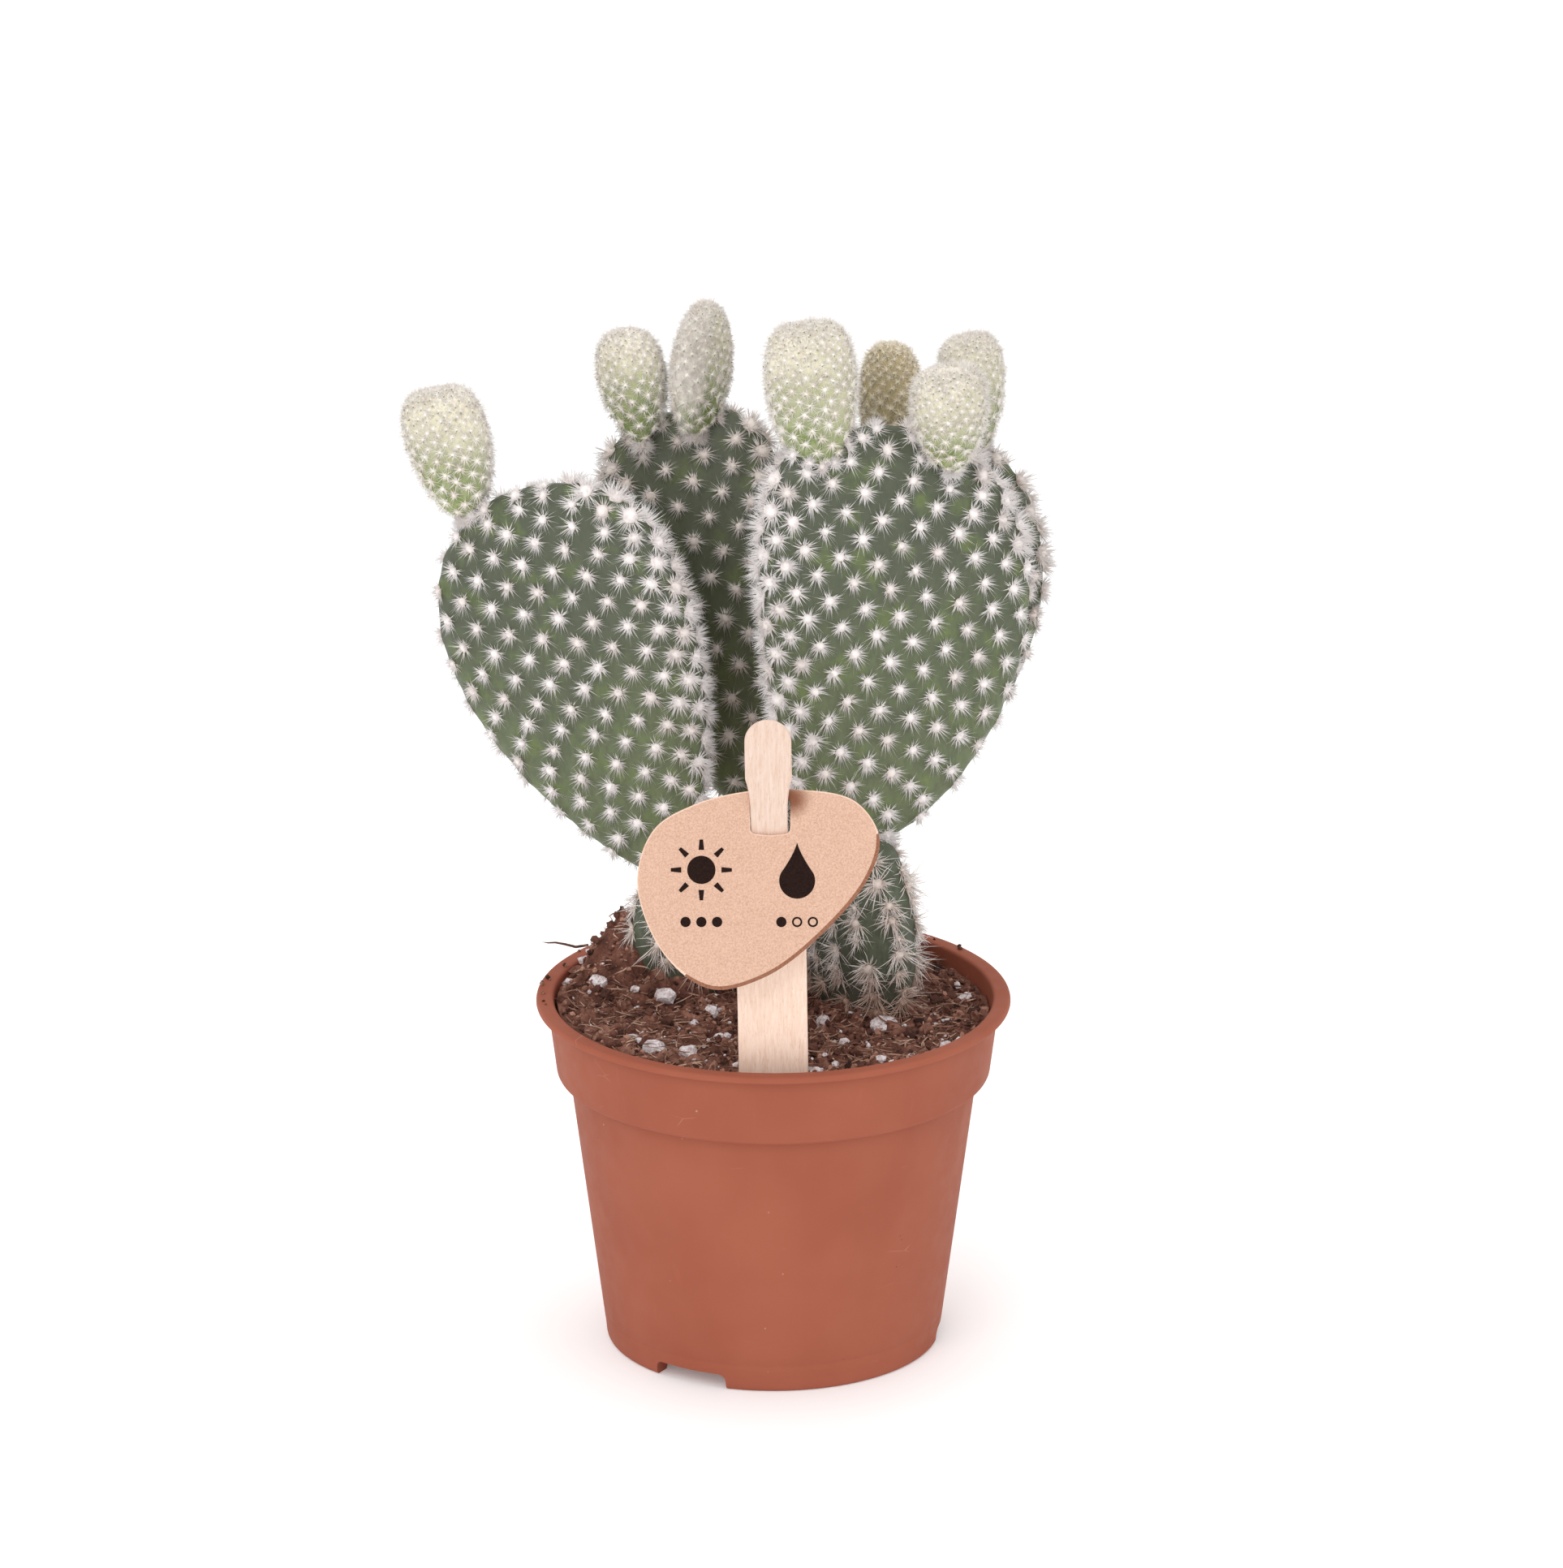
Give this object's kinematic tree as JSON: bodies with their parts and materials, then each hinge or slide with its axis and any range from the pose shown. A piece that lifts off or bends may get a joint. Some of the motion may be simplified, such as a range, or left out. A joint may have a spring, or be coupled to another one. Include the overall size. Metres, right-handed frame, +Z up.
{
  "type": "potted prickly pear cactus",
  "caption": "Bunny-ears prickly pear with broad green pads and small pale young pads, dotted with white bristle tufts, in a round nursery pot with a wooden stake and a card tag.",
  "frame": {"origin": "middle of the part's outline at the surface it stands on; the pot's axis stands off it towards +X", "axes": "+Z up, -Y towards the side with the stake and tag, +X to the right seen from there"},
  "size_m": [0.123, 0.0924, 0.1997],
  "materials": {
    "pot": "smooth moulded terracotta-coloured plastic, faint scratches",
    "soil": "moist dark brown peat with bark crumbs, fibres and white perlite grains",
    "stub": "waxy grey-green skin with long shaggy white bristles",
    "pad": "waxy dark green skin with white starry bristle tufts",
    "ear": "young yellow-green skin under dense creamy bristle tufts",
    "stake": "sanded pale birch with fine grain along its length",
    "tag": "kraft card with a darker cut edge and dark printed pictograms"
  },
  "bodies": {
    "root": {"pot": "pot", "soil": "soil", "stub_left": "stub", "stub_right": "stub", "stub_back": "stub", "pad_left": "pad", "pad_right": "pad", "pad_back_left": "pad", "pad_back_right": "pad", "ear_1": "ear", "ear_2": "ear", "ear_3": "ear", "ear_4": "ear", "ear_5": "ear", "ear_6": "ear", "ear_7": "ear", "stake": "stake", "tag": "tag"}
  },
  "joints": []
}
